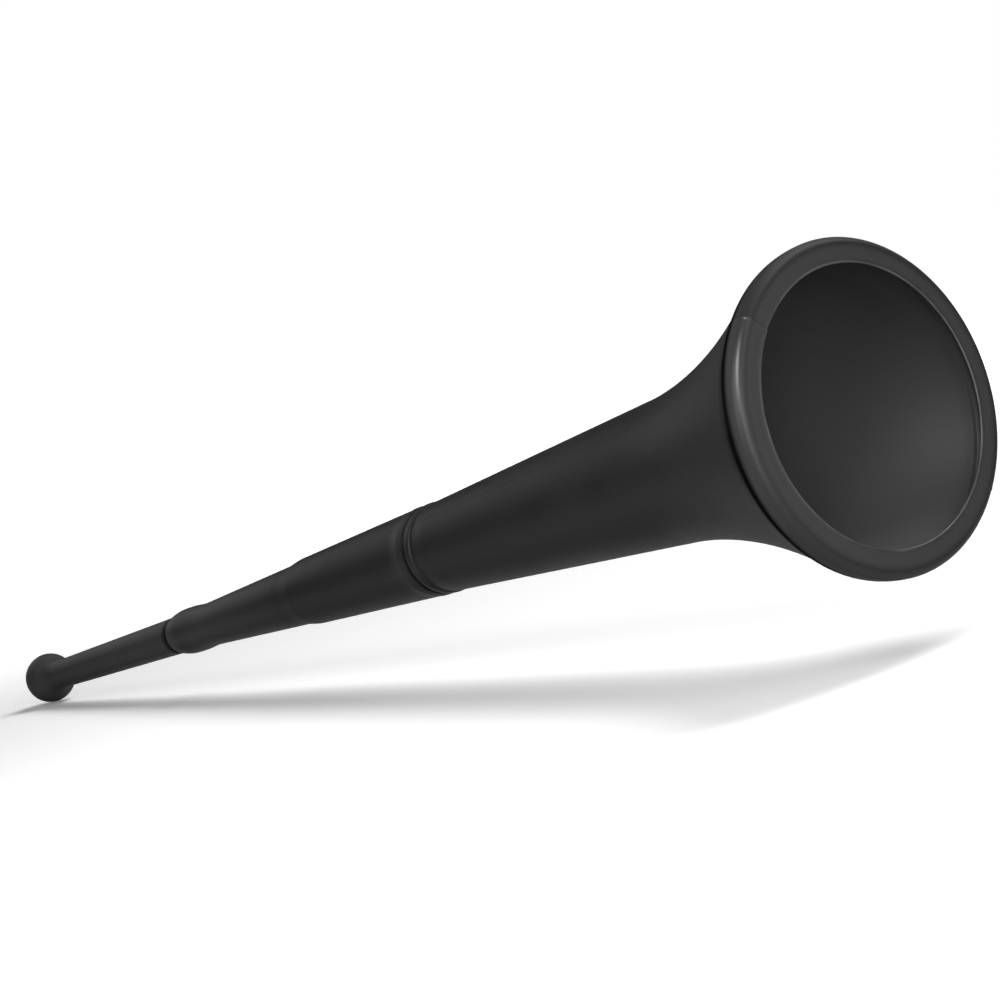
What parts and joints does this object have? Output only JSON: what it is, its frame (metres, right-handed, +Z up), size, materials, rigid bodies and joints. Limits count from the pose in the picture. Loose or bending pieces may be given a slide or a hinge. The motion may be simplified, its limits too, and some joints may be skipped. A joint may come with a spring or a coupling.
{
  "type": "vuvuzela",
  "caption": "Long conical plastic stadium horn with a flared bell, a rolled rim with a flat lip, plug-together tubes and a ball mouthpiece.",
  "frame": {"origin": "on the horn's axis, halfway between the lip of the bell and the end of the mouthpiece", "axes": "+X along the horn's axis towards the bell, +Z up with the horn lying level"},
  "size_m": [0.654, 0.1128, 0.1128],
  "materials": {
    "black_plastic": "satin",
    "mouth_plastic": "satin"
  },
  "bodies": {
    "bell": {"bell_tube": "black_plastic"},
    "middle": {"middle_tube": "black_plastic"},
    "mouth": {"mouth_tube": "mouth_plastic"}
  },
  "joints": [
    {"name": "middle_pull", "type": "slide", "parent": "bell", "child": "middle", "axis": [-1, 0, 0], "range_m": [0, 0.032]},
    {"name": "mouth_pull", "type": "slide", "parent": "middle", "child": "mouth", "axis": [-1, 0, 0], "range_m": [0, 0.028]}
  ]
}
